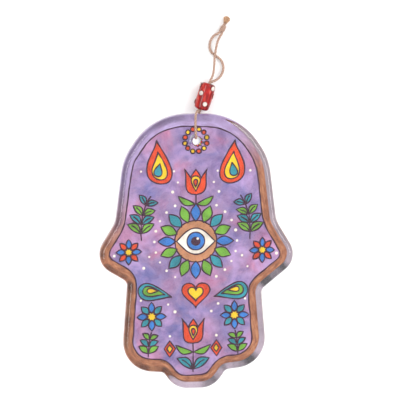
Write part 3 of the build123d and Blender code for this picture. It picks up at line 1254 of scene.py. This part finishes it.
def tail_line(rng, spread, length, bow):
    """A loose end of yarn that leaves the knot in a tuft and sinks towards the floor."""
    aim = math.radians(spread)
    sway = rng.uniform(-0.3, 0.3)
    line = []
    for share in shares(STRAND_STEPS):
        out = 0.3 * math.sin(aim) + length * math.sin(aim) * share ** 0.75 + sway * share ** 2
        on = KNOT_LENGTH - 0.4 + length * math.cos(0.6 * aim) * share
        line.append(by_the_knot(out, on, bow * math.sin(math.pi * share) - 0.8 * share ** 2))
    return line


class HAMSA_OT_knot(bpy.types.Operator):
    """Ties the knot and frays its cut tails"""
    bl_idname = "hamsa.knot"
    bl_label = "Knot and tails"

    def execute(self, context):
        settings = context.scene.hamsa_cord
        plies = settings.plies
        waxed = cord_material("knotted_cord", plies, settings.light, settings.dark)
        frayed = cord_material("frayed_cord", plies, settings.end_light, settings.end_dark, ROOT_SHADE_LENGTH)
        knot = cord_mesh("wrapped_knot", knot_lines(), settings, waxed, KNOT_SHARE)
        dress(add_object("wrapped_knot", knot), "cord", "cord", "knot")

        rng = random.Random(TAIL_SEED)
        yarns = [tail_line(rng, spread, 4.9 - abs(spread) / 22, rng.uniform(-0.4, 0.9))
                 for spread in PLY_SPREADS]
        spreads = [rng.uniform(-FIBRE_SPREAD, FIBRE_SPREAD) for _ in range(FIBRE_COUNT)]
        fibres = [tail_line(rng, spread, rng.uniform(4.2, 5.0) - abs(spread) / 24, rng.uniform(-0.8, 1.1))
                  for spread in spreads]
        meshes = [cord_mesh("tail_plies", yarns, settings, frayed, PLY_SHARE),
                  cord_mesh("tail_fibres", fibres, settings, frayed, FIBRE_SHARE)]
        tails = add_object("frayed_tails", smooth(joined("frayed_tails", meshes)), frayed)
        dress(tails, "cord", "cord", "cut_tails")
        return {"FINISHED"}


# The bead. Each ring of three dots has its way along the bead, in millimetres, and the first dot's angle
# from the top, in degrees.

BEAD_SOFT, BEAD_MOUTH = 1.7 * MM, 0.9 * MM
BEAD_POINTS, BEAD_END_STEPS, BEAD_SIDE_STEPS = 64, 8, 12
DOT_RINGS = ((-4.1, 9), (1.4, -42), (5.6, 35))


def bead_place():
    """Place of the bead: its Z along its bore, its Y pointing up."""
    upward = Vector((0.0, 0.0, 1.0))
    turn = Matrix((upward.cross(BEAD_AXIS), upward, BEAD_AXIS)).transposed()
    return Matrix.Translation(BEAD_MIDDLE) @ turn.to_4x4()


def bead_mesh(settings):
    """A barrel with soft ends and a bore, lying where the bead lies."""
    half, bore = settings.length / 2, settings.bore / 2
    waist, end = settings.diameter / 2, settings.end_diameter / 2
    arc = quarter_turn(BEAD_END_STEPS)
    profile = [(bore + BEAD_MOUTH * by_cosine, -half + BEAD_MOUTH * by_sine) for by_sine, by_cosine in arc]
    profile += [(end - BEAD_SOFT * by_sine, -half + BEAD_SOFT * by_cosine) for by_sine, by_cosine in arc]
    other_end = [(radius, -along) for radius, along in profile[::-1]]
    for i in range(1, BEAD_SIDE_STEPS):
        along = (i / BEAD_SIDE_STEPS * 2 - 1) * (half - BEAD_SOFT)
        profile.append((waist - (waist - end) * (along / half) ** 2, along))
    work = bmesh.new()
    rings = [ring_of(work, circle(radius, BEAD_POINTS), along) for radius, along in profile + other_end]
    work.transform(bead_place())
    return smooth(closed_tube(work, rings, "glass_bead"))


def dot_places(settings):
    """Middles of the dots on the side of the bead, in its own frame."""
    radius = settings.diameter / 2
    turns = [(along, math.radians(90 + first + 120 * i)) for along, first in DOT_RINGS for i in range(3)]
    return [(radius * math.cos(turn), radius * math.sin(turn), along * MM) for along, turn in turns]


class HAMSA_OT_bead(bpy.types.Operator):
    """Makes the red bead, its raised dots and their dark rims"""
    bl_idname = "hamsa.bead"
    bl_label = "Bead and dots"

    def execute(self, context):
        settings = context.scene.hamsa_bead
        bead = add_object("glass_bead", bead_mesh(settings), bead_material(settings))
        dress(bead, "bead", "bead_glass", "bead")
        pale = paint_material("dot_glass", settings.pale, 0.3, 420.0)
        dark = paint_material("rim_glass", settings.dark, 0.3, 500.0)
        for make, material, nodes in ((raised_dots, pale, ("bead_dots",)), (dot_rims, dark, ())):
            name = make.__name__
            source = line_object(name + "_places", [[place] for place in dot_places(settings)])
            mesh = made_by(make, source, name, Radius=settings.dot_diameter / 2, Height=settings.dot_height,
                           Rim=settings.rim / 2, Material=material)
            mesh.transform(bead_place())
            dress(add_object(name, smooth(mesh)), "bead", "dot_glass", *nodes)
        return {"FINISHED"}


# The stage, in metres and watts. The light comes from the sky and from two strips of lamps.

FLOOR_HALF = 3.0
FLOOR_GAP = 0.1 * MM
SKY_STRENGTH = 1.1
STRIP_LENGTH, STRIP_WIDTH = 1.1, 0.3
STRIPS = (("right_strip", (0.75, 0.35, 0.7), 6.5), ("left_strip", (-0.7, 0.12, 0.85), 3.5))


def grey(value):
    """A grey of a linear value."""
    return (value, value, value)


def lay_floor():
    """A plain pale floor under the ornament."""
    level = CAD_BOX[0].z - FLOOR_GAP
    corners = ((-1, -1), (1, -1), (1, 1), (-1, 1))
    mesh = bpy.data.meshes.new("floor")
    mesh.from_pydata([(x * FLOOR_HALF, y * FLOOR_HALF, level) for x, y in corners], [], [(0, 1, 2, 3)])
    look = Look("pale_floor")
    colour = look.ramp(look.noise(look.place, 3.0), (0.3, grey(0.93)), (0.7, grey(0.96)))
    material = look.put(Base_Color=colour, Roughness=0.9, Specular_IOR_Level=0.1)
    add_object("floor", mesh, material)


def light_up(scene):
    """A soft sky, brighter overhead, and two strips of lamps."""
    world = bpy.data.worlds.new("soft_light")
    world.use_nodes = True
    sky = Nodes(world.node_tree)
    upward = sky.add("ShaderNodeSeparateXYZ", {0: sky.add("ShaderNodeTexCoord", out="Generated")}, "Z")
    background = sky.tree.nodes["Background"].inputs
    sky.feed(background["Color"], sky.ramp(upward, (0.02, grey(0.12)), (0.35, grey(0.85)), (0.75, grey(1.0))))
    sky.feed(background["Strength"], SKY_STRENGTH)
    scene.world = world
    for name, spot, watts in STRIPS:
        lamp = bpy.data.lights.new(name, "AREA")
        lamp.shape, lamp.size, lamp.size_y, lamp.energy = "RECTANGLE", STRIP_LENGTH, STRIP_WIDTH, watts
        strip = add_object(name, lamp)
        strip.location = spot
        strip.rotation_euler = (-strip.location).to_track_quat("-Z", "Y").to_euler()


def set_camera(scene, settings):
    """A camera that looks down on the ornament, leaning a little to the left and towards the knot."""
    back = Vector((-math.tan(settings.lean_left), math.tan(settings.lean_up), 1.0)).normalized()
    right = Vector((0.0, 1.0, 0.0)).cross(back).normalized()
    turn = Matrix((right, back.cross(right), back)).transposed()
    lens = bpy.data.cameras.new("camera")
    lens.lens = lens.sensor_width * settings.distance / settings.picture_width
    lens.clip_start, lens.clip_end = 0.01, 10.0
    camera = add_object("camera", lens)
    spot = Vector(settings.middle) + back * settings.distance
    camera.matrix_world = Matrix.Translation(spot) @ turn.to_4x4()
    scene.camera = camera


class HAMSA_OT_stage(bpy.types.Operator):
    """Sets the floor, the light and the camera"""
    bl_idname = "hamsa.stage"
    bl_label = "Stage"

    def execute(self, context):
        context.scene.view_settings.view_transform = "Standard"
        lay_floor()
        light_up(context.scene)
        set_camera(context.scene, context.scene.hamsa_stage)
        return {"FINISHED"}


PIECES = (HAMSA_OT_stage, HAMSA_OT_cord, HAMSA_OT_knot, HAMSA_OT_bead, HAMSA_OT_glass, HAMSA_OT_coats,
          HAMSA_OT_ground, HAMSA_OT_motifs, HAMSA_OT_contours)


class HAMSA_PT_panel(bpy.types.Panel):
    """Lists the steps that dress the ornament"""
    bl_idname = "HAMSA_PT_panel"
    bl_label = "Hamsa hand"
    bl_space_type = "VIEW_3D"
    bl_region_type = "UI"
    bl_category = "Hamsa"

    def draw(self, context):
        for piece in PIECES:
            self.layout.operator(piece.bl_idname)


SETTINGS = {
    "hamsa_glass": HamsaGlassSettings,
    "hamsa_paint": HamsaPaintSettings,
    "hamsa_cord": HamsaCordSettings,
    "hamsa_bead": HamsaBeadSettings,
    "hamsa_stage": HamsaStageSettings,
}


def register():
    """Registers the settings, the operators and the panel."""
    for name, group in SETTINGS.items():
        bpy.utils.register_class(group)
        setattr(bpy.types.Scene, name, PointerProperty(type=group))
    for cls in (*PIECES, HAMSA_PT_panel):
        bpy.utils.register_class(cls)


def unregister():
    """Removes what register added."""
    for cls in (HAMSA_PT_panel, *reversed(PIECES)):
        bpy.utils.unregister_class(cls)
    for name, group in SETTINGS.items():
        delattr(bpy.types.Scene, name)
        bpy.utils.unregister_class(group)


def main():
    """Dresses the ornament."""
    register()
    for piece in PIECES:
        group, step = piece.bl_idname.split(".")
        getattr(getattr(bpy.ops, group), step)()


if __name__ == "__main__":
    main()
